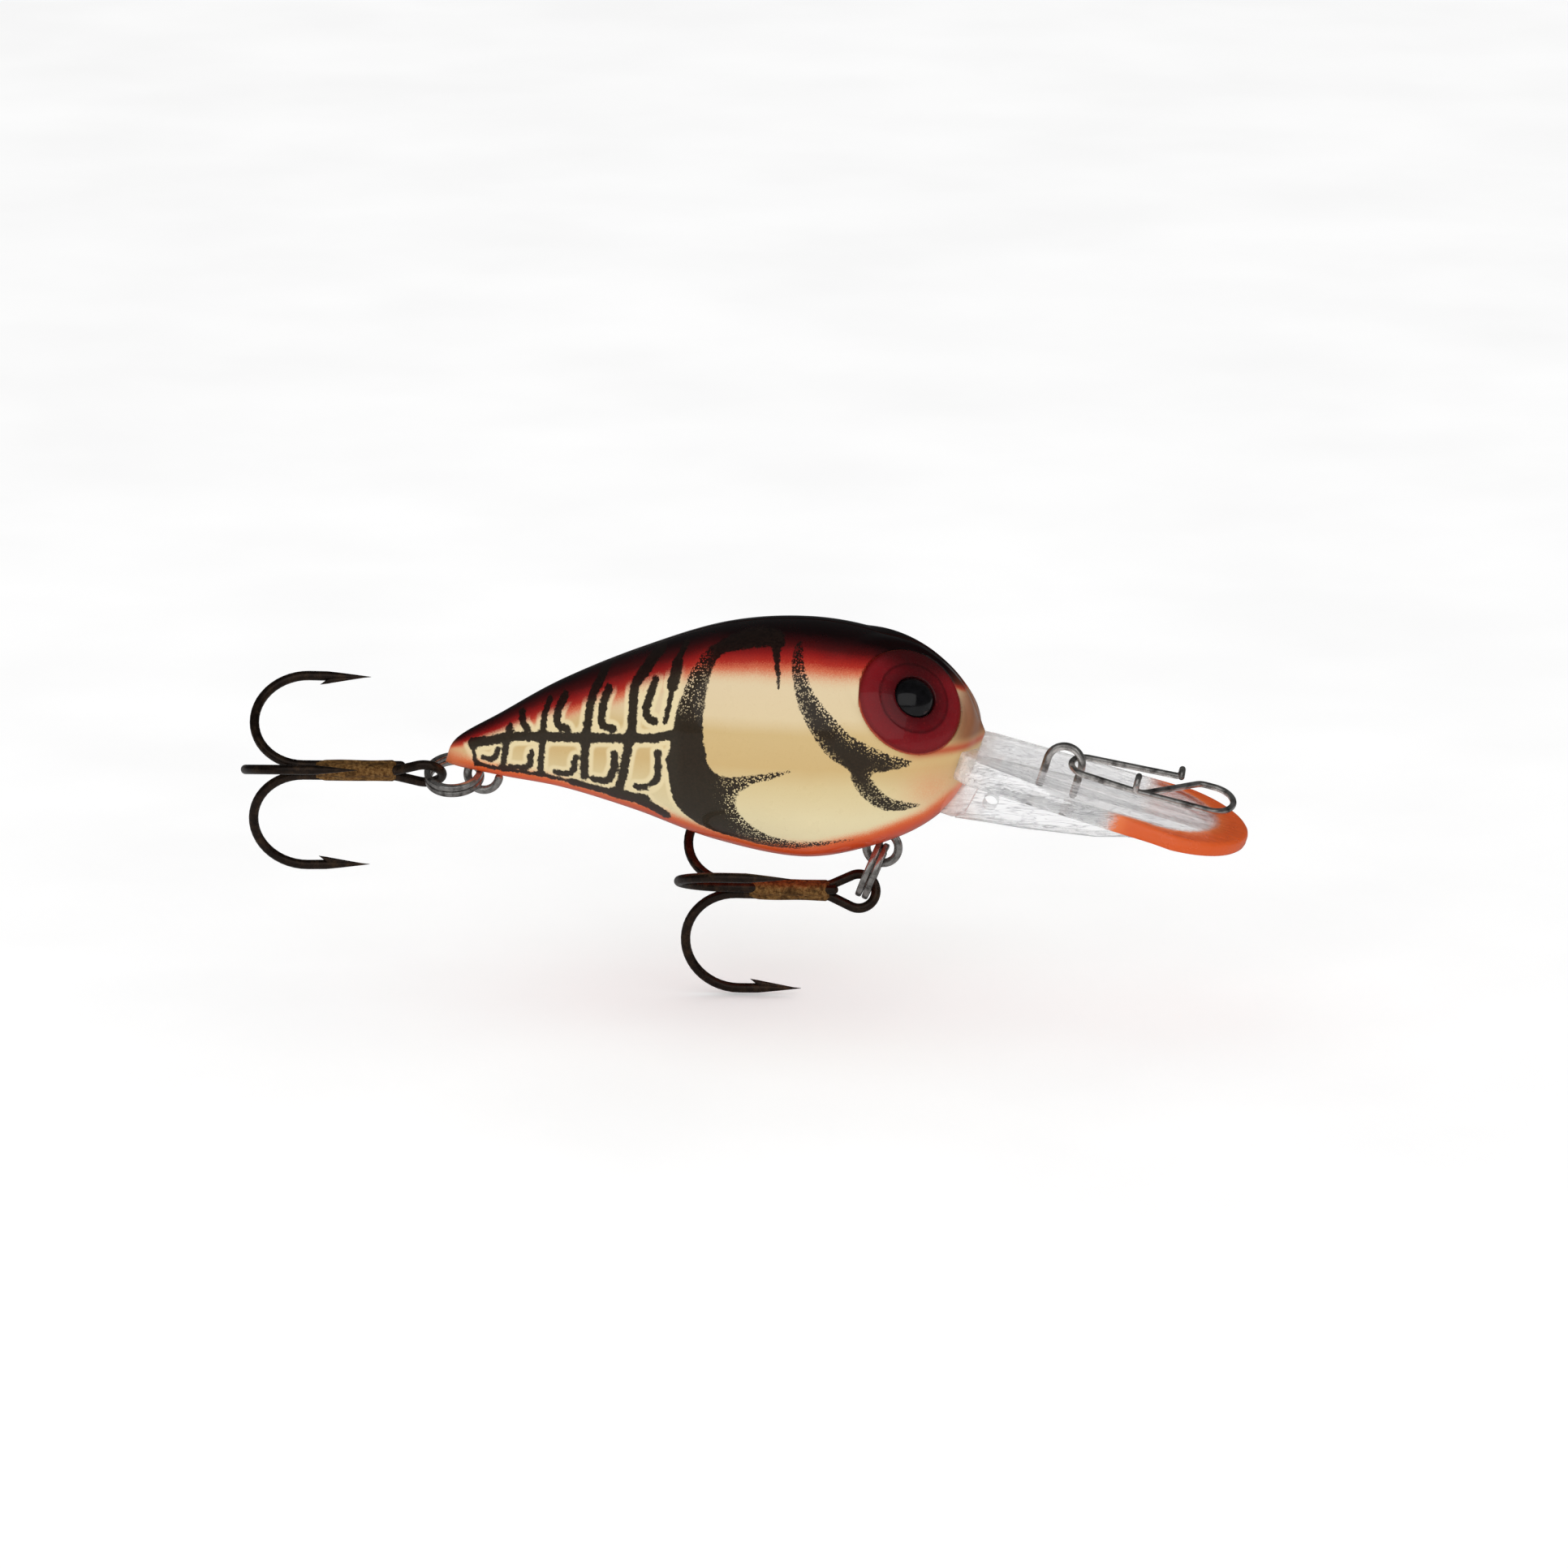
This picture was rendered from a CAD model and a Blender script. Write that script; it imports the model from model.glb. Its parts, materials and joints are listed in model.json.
"""Looks of the crankbait lure: painted shell, domed eyes, clear lip, bent wire and hooks."""

import json
import math

import bpy
import numpy as np
from mathutils import Matrix, Vector

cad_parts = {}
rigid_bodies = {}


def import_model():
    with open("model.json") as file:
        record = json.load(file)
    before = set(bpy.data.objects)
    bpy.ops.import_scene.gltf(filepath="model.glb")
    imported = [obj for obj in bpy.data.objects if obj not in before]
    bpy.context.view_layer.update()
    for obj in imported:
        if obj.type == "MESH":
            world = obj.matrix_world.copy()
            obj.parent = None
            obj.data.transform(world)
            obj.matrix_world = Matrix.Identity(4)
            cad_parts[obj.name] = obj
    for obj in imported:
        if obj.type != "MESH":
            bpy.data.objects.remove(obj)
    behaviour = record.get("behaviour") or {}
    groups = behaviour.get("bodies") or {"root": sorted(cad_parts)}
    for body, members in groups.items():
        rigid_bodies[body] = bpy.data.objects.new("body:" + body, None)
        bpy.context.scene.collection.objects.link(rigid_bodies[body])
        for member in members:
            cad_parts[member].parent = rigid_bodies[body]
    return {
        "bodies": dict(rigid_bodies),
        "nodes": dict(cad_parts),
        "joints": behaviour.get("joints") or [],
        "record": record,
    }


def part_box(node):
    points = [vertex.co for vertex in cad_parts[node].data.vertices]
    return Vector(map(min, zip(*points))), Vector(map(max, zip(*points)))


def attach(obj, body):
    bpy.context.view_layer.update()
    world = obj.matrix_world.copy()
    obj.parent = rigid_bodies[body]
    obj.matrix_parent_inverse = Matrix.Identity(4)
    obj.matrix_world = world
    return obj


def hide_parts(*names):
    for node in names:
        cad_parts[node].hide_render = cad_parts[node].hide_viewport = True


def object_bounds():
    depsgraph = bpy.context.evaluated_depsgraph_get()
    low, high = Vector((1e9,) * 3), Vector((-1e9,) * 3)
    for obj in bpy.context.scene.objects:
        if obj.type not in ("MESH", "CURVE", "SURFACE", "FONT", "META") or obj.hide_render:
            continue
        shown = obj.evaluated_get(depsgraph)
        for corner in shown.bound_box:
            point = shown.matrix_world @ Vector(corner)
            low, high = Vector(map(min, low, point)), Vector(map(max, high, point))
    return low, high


frame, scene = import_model(), bpy.context.scene
bpy.context.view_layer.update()
MM = 0.001
joint_at = {j["name"]: Vector(j["pos_m"]) / MM for j in frame["joints"] if "pos_m" in j}

# ---- Body form, the same rails as the CAD, as fractions of length, height and width ----
BACK = np.array([
    (0, 0), (0.022, 0.104), (0.105, 0.219), (0.215, 0.365), (0.36, 0.510), (0.52, 0.630),
    (0.67, 0.662), (0.80, 0.617), (0.90, 0.505), (0.965, 0.36), (1, 0.205),
])
BELLY = np.array([
    (0, 0), (0.030, -0.020), (0.115, -0.052), (0.225, -0.088), (0.36, -0.168), (0.51, -0.280),
    (0.67, -0.341), (0.80, -0.283), (0.90, -0.175), (0.965, -0.015), (1, 0.205),
])
WIDTH = np.array([0, 0.055, 0.13, 0.23, 0.365, 0.48, 0.5, 0.462, 0.375, 0.225, 0])[:, None]
FULLNESS = 0.92
CAD_TAIL, CAD_NOSE = 0.012, 0.992
WALL = 1.5


def rail_at(rail, u):
    """Catmull-Rom through the rail, for an array of u from 0 to 1."""
    last = len(rail) - 1
    k = np.minimum(np.floor(u * last).astype(int), last - 1)
    f = (u * last - k)[:, None]
    p1, p2 = rail[k], rail[k + 1]
    p0 = np.where((k > 0)[:, None], rail[np.maximum(k - 1, 0)], 2 * p1 - p2)
    p3 = np.where((k < last - 1)[:, None], rail[np.minimum(k + 2, last)], 2 * p2 - p1)
    return 0.5 * (
        2 * p1 + (p2 - p0) * f + (2 * p0 - 5 * p1 + 4 * p2 - p3) * f ** 2
        + (3 * p1 - 3 * p2 + p3 - p0) * f ** 3
    )


def smooth(t):
    t = np.clip(t, 0, 1)
    return t * t * (3 - 2 * t)


half_lo, half_hi = (np.array(c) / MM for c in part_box("body_left"))
ends = rail_at(BACK, np.array([CAD_TAIL, CAD_NOSE]))
fine = np.linspace(0, 1, 400)
heights = rail_at(BACK, fine)[:, 1].max(), rail_at(BELLY, fine)[:, 1].min()
LENGTH = (half_hi[0] - half_lo[0]) / (ends[1, 0] - ends[0, 0])
HEIGHT = (half_hi[2] - half_lo[2]) / (heights[0] - heights[1])
FULL_WIDTH = half_hi[1] / rail_at(WIDTH, fine).max()
TAIL = Vector((half_lo[0] - ends[0, 0] * LENGTH, 0, half_lo[2] - heights[1] * HEIGHT))


def skin(u, a):
    """Outside of the left half: u runs from tail to nose, a from the back (0) to the belly (pi)."""
    top, low = rail_at(BACK, u), rail_at(BELLY, u)
    half = np.maximum(rail_at(WIDTH, u)[:, 0], 0) * FULL_WIDTH
    lift = np.sign(np.cos(a)) * np.abs(np.cos(a)) ** FULLNESS
    side = (top + low)[:, None] / 2 + (top - low)[:, None] / 2 * lift[None, :, None]
    y = half[:, None] * np.maximum(np.sin(a), 0)[None, :] ** FULLNESS
    return np.stack([side[..., 0] * LENGTH, y, side[..., 1] * HEIGHT], -1)


# ---- Frames and meshes, all in millimetres until a piece is made ----
def sin(degrees):
    return math.sin(math.radians(degrees))


def cos(degrees):
    return math.cos(math.radians(degrees))


def around(n):
    """Angles of n points round a circle."""
    return np.linspace(0, 2 * math.pi, n, endpoint=False)


def turn(x, y, z):
    r = [Matrix.Rotation(math.radians(v), 4, ax) for v, ax in ((z, "Z"), (y, "Y"), (x, "X"))]
    return r[0] @ r[1] @ r[2]


def at(x, y=0.0, z=0.0):
    return Matrix.Translation((x, y, z) if not isinstance(x, Vector) else x)


class Shell:
    """Vertices and faces of one piece, gathered from several sweeps and grids."""

    def __init__(self, rings=None):
        self.verts, self.faces = [], []
        if rings:
            self.rings(rings)

    def rings(self, rings):
        """Skins a list of vertex rings of the same length and caps both ends."""
        n = len(rings[0])
        verts = [v for ring in rings for v in ring]
        faces = []
        for i in range(len(rings) - 1):
            a, b = i * n, (i + 1) * n
            faces += [(a + k, a + (k + 1) % n, b + (k + 1) % n, b + k) for k in range(n)]
        faces += [tuple(range(n))[::-1], tuple(range(len(verts) - n, len(verts)))]
        start = len(self.verts)
        self.verts += [tuple(v) for v in verts]
        self.faces += [tuple(i + start for i in f) for f in faces]

    def turn_over(self):
        self.faces = [f[::-1] for f in self.faces]


def show(name, data):
    """A new object in the scene."""
    ob = bpy.data.objects.new(name, data)
    scene.collection.objects.link(ob)
    return ob


def piece(name, shell, body, node, material, values=None):
    """Makes the object that stands for one CAD node and rides its body, from millimetres."""
    mesh = bpy.data.meshes.new(name)
    mesh.from_pydata([Vector(v) * MM for v in shell.verts], [], shell.faces)
    mesh.validate()
    for key, data in (values or {}).items():
        layer = mesh.attributes.new(key, "FLOAT", "POINT")
        layer.data.foreach_set("value", np.asarray(data, np.float32))
    mesh.polygons.foreach_set("use_smooth", [True] * len(mesh.polygons))
    mesh.materials.append(material)
    ob = show(name, mesh)
    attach(ob, body)
    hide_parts(node)
    return ob


# Length of one straight step in millimetres, degrees of one step in a bend, and where the rings
# of a rounded wire end sit, in radians
STRAIGHT_STEP, BEND_STEP = 0.7, 7
ROUND_END = (0.45, 0.9, 1.25, 1.5)


def run(steps, start):
    """Points along a bent wire; each step is (straight, roll, bend radius, bend) as in the CAD."""
    m = start.copy()
    points = [m.translation.copy()]
    for straight, roll, radius, bend in steps:
        n = max(1, int(straight / STRAIGHT_STEP))
        if straight > 0:
            points += [m @ Vector((straight * k / n, 0, 0)) for k in range(1, n + 1)]
        m = m @ at(straight) @ turn(roll, 0, 0)
        if bend > 0:
            n = max(4, int(bend / BEND_STEP))
            for k in range(1, n + 1):
                t = math.radians(bend * k / n)
                points.append(m @ Vector((radius * math.sin(t), 0, radius * (1 - math.cos(t)))))
            t = math.radians(bend)
            m = m @ at(radius * math.sin(t), 0, radius * (1 - math.cos(t))) @ turn(0, -bend, 0)
    return points, m


def sweep(shell, points, radius, sides):
    """A round wire with rounded ends; radius is one number or one per point."""
    radii = list(radius) if hasattr(radius, "__len__") else [radius] * len(points)
    points = [Vector(p) for p in points]
    for end, step in ((0, 1), (-1, -1)):
        way = (points[end] - points[end + step]).normalized()
        tip, r = points[end], radii[end]
        extra = [(tip + way * r * math.sin(t), r * math.cos(t)) for t in ROUND_END]
        if end == 0:
            points = [p for p, _ in extra[::-1]] + points
            radii = [q for _, q in extra[::-1]] + radii
        else:
            points += [p for p, _ in extra]
            radii += [q for _, q in extra]
    way = (points[1] - points[0]).normalized()
    side = way.orthogonal().normalized()
    rings = []
    for i, p in enumerate(points):
        ahead = points[min(i + 1, len(points) - 1)] - points[max(i - 1, 0)]
        ahead.normalize()
        side = (side - ahead * side.dot(ahead)).normalized()
        other = ahead.cross(side)
        rings.append([p + (side * math.cos(t) + other * math.sin(t)) * radii[i]
                      for t in around(sides)])
    shell.rings(rings)


def lathe(profile, m, sides=96):
    """Turns (radius, height) points about +Z of the frame m."""
    return Shell([[m @ Vector((r * math.cos(t), r * math.sin(t), z)) for t in around(sides)]
                  for r, z in profile])


# ---- Node helpers ----
def rgb(code):
    """Linear colour from a hex code."""
    values = [int(code[i:i + 2], 16) / 255 for i in (0, 2, 4)]
    return tuple(v / 12.92 if v < 0.04 else ((v + 0.055) / 1.055) ** 2.4 for v in values) + (1.0,)


class Nodes:
    """Short calls for building one material."""

    def __init__(self, name):
        self.material = bpy.data.materials.new(name)
        self.material.use_nodes = True
        self.tree = self.material.node_tree
        self.bsdf = self.tree.nodes["Principled BSDF"]
        self.place = self.new("ShaderNodeTexCoord").outputs["Object"]

    def new(self, kind, **values):
        n = self.tree.nodes.new(kind)
        for key, value in values.items():
            setattr(n, key, value)
        return n

    def put(self, socket, value):
        if isinstance(value, bpy.types.NodeSocket):
            self.tree.links.new(value, socket)
        else:
            socket.default_value = value

    def math(self, op, *terms):
        n = self.new("ShaderNodeMath", operation=op)
        for socket, value in zip(n.inputs, terms):
            self.put(socket, value)
        return n.outputs[0]

    def times(self, a, b):
        return self.math("MULTIPLY", a, b)

    def stir(self, value, noise, amount):
        """Adds noise to a value, evenly up and down, over a range of amount."""
        return self.math("ADD", value, self.times(self.math("SUBTRACT", noise, 0.5), amount))

    def value(self, name):
        return self.new("ShaderNodeAttribute", attribute_name=name).outputs["Fac"]

    def noise(self, size, detail=2.0, roughness=0.5, stretch=None):
        """Noise whose features are about size millimetres across; stretch scales the axes."""
        n = self.new("ShaderNodeTexNoise")
        n.inputs["Scale"].default_value = 1 / (size * MM)
        n.inputs["Detail"].default_value = detail
        n.inputs["Roughness"].default_value = roughness
        where = self.place
        if stretch:
            scale = self.new("ShaderNodeMapping")
            scale.inputs["Scale"].default_value = stretch
            self.put(scale.inputs["Vector"], where)
            where = scale.outputs[0]
        self.put(n.inputs["Vector"], where)
        return n.outputs[0]

    def cells(self, size):
        """Random cells about size millimetres across: distance to the middle, value per cell."""
        n = self.new("ShaderNodeTexVoronoi")
        n.inputs["Scale"].default_value = 1 / (size * MM)
        self.put(n.inputs["Vector"], self.place)
        parts = self.new("ShaderNodeSeparateColor")
        self.put(parts.inputs[0], n.outputs["Color"])
        return n.outputs["Distance"], parts.outputs[0]

    def remap(self, value, lo, hi, to_lo=0.0, to_hi=1.0, soft=True):
        n = self.new("ShaderNodeMapRange")
        n.interpolation_type = "SMOOTHSTEP" if soft else "LINEAR"
        for socket, v in zip(n.inputs, (value, lo, hi, to_lo, to_hi)):
            self.put(socket, v)
        return n.outputs[0]

    def uneven(self, size, detail, lo, hi):
        """A value that wanders between lo and hi."""
        return self.remap(self.noise(size, detail), 0.3, 0.7, lo, hi)

    def ramp(self, value, stops):
        n = self.new("ShaderNodeValToRGB")
        bar = n.color_ramp.elements
        while len(bar) < len(stops):
            bar.new(0.5)
        for mark, (where, code) in zip(bar, stops):
            mark.position = where
            mark.color = rgb(code)
        self.put(n.inputs[0], value)
        return n.outputs[0]

    def mix(self, amount, a, b):
        n = self.new("ShaderNodeMix", data_type="RGBA")
        self.put(n.inputs[0], amount)
        self.put(n.inputs[6], a)
        self.put(n.inputs[7], b)
        return n.outputs[2]

    def bump(self, height, depth, before=None):
        """Bump whose full height is depth millimetres."""
        n = self.new("ShaderNodeBump")
        n.inputs["Strength"].default_value = 1.0
        n.inputs["Distance"].default_value = depth * MM
        self.put(n.inputs["Height"], height)
        if before:
            self.put(n.inputs["Normal"], before)
        return n.outputs[0]

    def set(self, **values):
        for key, value in values.items():
            self.put(self.bsdf.inputs[key.replace("_", " ")], value)
        return self.material


# ---- Ink pattern on the flank ----
# Points are in thousandths of the body's length and height, line widths in parts of its length
MID_LINE = (0.018, [(55, 100), (100, 125), (130, 145), (200, 165), (280, 183), (365, 203),
                    (410, 215), (450, 240)])
BARS = [
    (0.009, [(57, 100), (59, 55), (63, 13)]),
    (0.013, [(130, 190), (125, 145), (120, 70), (115, 10)]),
    (0.013, [(205, 310), (197, 250), (195, 165), (192, 100), (188, 0)]),
    (0.017, [(310, 480), (300, 410), (290, 355), (285, 290), (280, 180), (277, 90), (274, 10)]),
    (0.018, [(410, 545), (395, 500), (378, 440), (370, 400), (370, 270), (365, 200), (357, 110),
             (350, 35), (342, -20)]),
    (0.013, [(395, 490), (375, 430)]),
]
UPPER_MARKS = [
    (0.014, [(152, 247), (155, 210), (165, 185)]),
    (0.016, [(235, 335), (225, 290), (222, 250), (227, 215), (243, 210)]),
    (0.016, [(320, 385), (313, 340), (310, 290), (312, 245), (332, 235)]),
    (0.016, [(410, 440), (401, 380), (396, 330), (400, 295), (412, 285)]),
    (0.011, [(458, 575), (446, 500), (443, 420), (437, 330), (433, 285)]),
    (0.022, [(449, 510), (443, 430)]),
]
LOWER_MARKS = [
    (0.011, [(77, 45), (93, 40), (104, 65), (107, 88)]),
    (0.012, [(131, 15), (153, 15), (168, 28), (170, 67), (173, 90)]),
    (0.013, [(217, 10), (240, 10), (253, 30), (256, 70), (260, 90)]),
    (0.015, [(292, 0), (317, 0), (329, 40), (335, 85), (335, 130)]),
    (0.015, [(375, -10), (400, 0), (417, 45), (420, 105), (420, 155)]),
]
LOWER_BAND = [
    (0.009, [(65, 12), (100, 0), (150, -5), (200, -15), (250, -30)]),
    (0.017, [(250, -30), (300, -50), (350, -65), (390, -60)]),
    (0.022, [(330, -55), (370, -75), (400, -100), (425, -135)]),
]
CREAM_GAP = [
    (0.010, [(430, 130), (436, 60), (437, -5), (445, -70)]),
    (0.016, [(445, -70), (467, -135), (487, -175)]),
    (0.008, [(430, 15), (400, -15)]),
]
CLAW = [
    (645, 610), (633, 640), (588, 645), (545, 620), (500, 565), (484, 520), (473, 475),
    (467, 425), (458, 370), (452, 310), (448, 245), (440, 160), (434, 130), (438, 80), (441, 5),
    (447, -60), (464, -115), (488, -160), (523, -200), (566, -225), (607, -250), (657, -260),
    (697, -250), (742, -225), (780, -210), (742, -210), (697, -220), (658, -215), (620, -190),
    (592, -150), (575, -105), (565, -55), (567, -5), (583, 30), (608, 60), (632, 75), (668, 110),
    (644, 108), (614, 95), (584, 85), (554, 75), (526, 90), (515, 130), (508, 200), (505, 290),
    (507, 380), (511, 450), (517, 505), (526, 545), (543, 565), (572, 580), (601, 590),
    (620, 592), (626, 560), (633, 505), (642, 443), (643, 490), (639, 550), (640, 585),
]
GILL = [
    (672, 615), (662, 580), (662, 530), (668, 465), (677, 398), (688, 340), (700, 290),
    (718, 225), (739, 170), (757, 143), (774, 115), (777, 73), (786, 30), (803, -15), (823, -55),
    (849, -70), (875, -65), (897, -50), (872, -32), (849, -12), (832, 18), (819, 53), (811, 93),
    (818, 107), (841, 117), (864, 128), (887, 155), (870, 172), (847, 190), (824, 213),
    (801, 237), (777, 268), (757, 309), (736, 352), (718, 400), (703, 443), (692, 493),
    (683, 538), (680, 580),
]
# Where the ink is sprayed thin: reach in millimetres, amount, points
THIN_INK = [
    (1.7, 1.0, [(490, 540), (484, 450), (480, 360)]),
    (1.9, 1.0, [(660, 115), (600, 60), (560, 30), (553, -50), (570, -130), (610, -190),
                (680, -235), (780, -210)]),
    (1.7, 1.0, [(680, 620), (690, 500), (715, 410), (745, 330), (790, 250), (830, 210),
                (890, 155)]),
    (1.1, 0.8, [(815, 100), (825, 30), (850, -20), (900, -50)]),
    (0.9, 0.7, [(668, 550), (690, 330), (740, 170), (780, 50), (830, -60)]),
]
# Heights of the soft edges of the red back and of the orange belly at each tenth of the length
TENTHS = np.arange(11) / 10
RED_EDGE = [0.06, 0.16, 0.27, 0.36, 0.45, 0.54, 0.555, 0.55, 0.53, 0.46, 0.36]
ORANGE_EDGE = [0.04, 0.01, -0.015, -0.06, -0.105, -0.18, -0.235, -0.235, -0.18, -0.09, 0.08]


def curve(points, closed=False, parts=3):
    """Rounds a list of points with Catmull-Rom, in millimetres."""
    p = np.array(points) / 1000 * [LENGTH, HEIGHT]
    n = len(p)
    out = []
    for i in range(n if closed else n - 1):
        pick = [(i + k) % n if closed else min(max(i + k, 0), n - 1) for k in (-1, 0, 1, 2)]
        a, b, c, d = p[pick]
        for f in np.arange(parts) / parts:
            out.append(0.5 * (2 * b + (c - a) * f + (2 * a - 5 * b + 4 * c - d) * f * f
                              + (3 * b - 3 * c + d - a) * f ** 3))
    if not closed:
        out.append(p[-1])
    return np.array(out)


def distance(xz, line, closed=False):
    """Distance of each point to a polyline."""
    best = np.full(len(xz), 1e9)
    ends = np.roll(line, -1, 0) if closed else line[1:]
    for a, b in zip(line, ends):
        along = b - a
        t = np.clip(((xz - a) @ along) / max(along @ along, 1e-9), 0, 1)
        best = np.minimum(best, np.hypot(*(xz - a - t[:, None] * along).T))
    return best


def inside(xz, outline):
    """True for points inside a closed outline."""
    odd = np.zeros(len(xz), bool)
    for (x0, z0), (x1, z1) in zip(outline, np.roll(outline, -1, 0)):
        spans = (z0 > xz[:, 1]) != (z1 > xz[:, 1])
        cross = x0 + (xz[:, 1] - z0) * (x1 - x0) / (z1 - z0 + 1e-12)
        odd ^= spans & (xz[:, 0] < cross)
    return odd


CELL_CORNER = 0.45


def ink_field(xz):
    """Signed distance to the ink in millimetres, negative inside it."""
    field = np.full(len(xz), 9.0)
    for width, points in [MID_LINE] + BARS + LOWER_BAND:
        away = distance(xz, curve(points)) - width * LENGTH / 2
        blend = np.maximum(CELL_CORNER - np.abs(field - away), 0) / CELL_CORNER
        field = np.minimum(field, away) - blend ** 2 * CELL_CORNER / 4
    for width, points in UPPER_MARKS + LOWER_MARKS:
        field = np.minimum(field, distance(xz, curve(points)) - width * LENGTH / 2)
    for width, points in CREAM_GAP:
        field = np.maximum(field, width * LENGTH / 2 - distance(xz, curve(points)))
    for points in (CLAW, GILL):
        outline = curve(points, closed=True)
        away = distance(xz, outline, closed=True)
        field = np.minimum(field, np.where(inside(xz, outline), -away, away))
    return field


def thin_field(xz):
    """How thinly the ink is sprayed, from 0 to 1."""
    field = np.zeros(len(xz))
    for reach, amount, points in THIN_INK:
        field = np.maximum(field, amount * smooth(1 - distance(xz, curve(points)) / reach))
    return field


# ---- Eyes: where they sit and how the shell rises to meet them ----
EYE_AT = TAIL + Vector((0.884 * LENGTH, 0.306 * FULL_WIDTH, 0.404 * HEIGHT))
EYE_YAW, EYE_PITCH = 54, 33
IRIS_R, IRIS_BALL, IRIS_SEAT, IRIS_RIM = 5.2, 9.5, -2.1, -1.15
PUPIL_R, PUPIL_BALL = 1.95, 2.5
EYE_BLEND, EYE_DEPTH, COLLAR_DROP, UNDER_DOME, DOME_GAP, MOST_UNDER = 2.6, -6, 0.08, 0.12, 0.02, 0.9
dome_centre = IRIS_RIM - math.sqrt(IRIS_BALL ** 2 - IRIS_R ** 2)
left_eye = at(EYE_AT) @ turn(0, 0, EYE_YAW) @ turn(0, 90 - EYE_PITCH, 0)
flip = Matrix.Diagonal((1, -1, 1, 1))
right_eye = flip @ left_eye @ flip


def eye_rim(points):
    """Lifts the shell into a soft collar round the left iris and keeps it under the dome."""
    m = np.array(left_eye)
    local = (points - m[:3, 3]) @ m[:3, :3]
    r = np.hypot(local[:, 0], local[:, 1])
    front = local[:, 2] > EYE_DEPTH
    z = local[:, 2].copy()
    collar = IRIS_RIM - COLLAR_DROP
    lift = smooth(1 - (r - IRIS_R) / EYE_BLEND)
    z = np.where(front & (z < collar), z + (collar - z) * lift, z)
    dome = dome_centre + np.sqrt(np.maximum(IRIS_BALL ** 2 - r ** 2, 0)) - UNDER_DOME
    drop = np.minimum((IRIS_R + DOME_GAP - r) * 1.2, MOST_UNDER)
    z = np.where(front & (r < IRIS_R + DOME_GAP), np.minimum(z, dome - drop), z)
    local[:, 2] = z
    return local @ m[:3, :3].T + m[:3, 3]


# ---- Painted shell halves ----
STATIONS, STEPS, INNER_STEPS = 380, 210, 12
FIRST_STATION, LAST_STATION = 0.004, 0.997
SEAM_DEPTH, SEAM_REACH = 0.05, 0.12
LEAST_INNER, POLE_GAP = 0.12, np.array([0.4, 0, 0])


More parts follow.
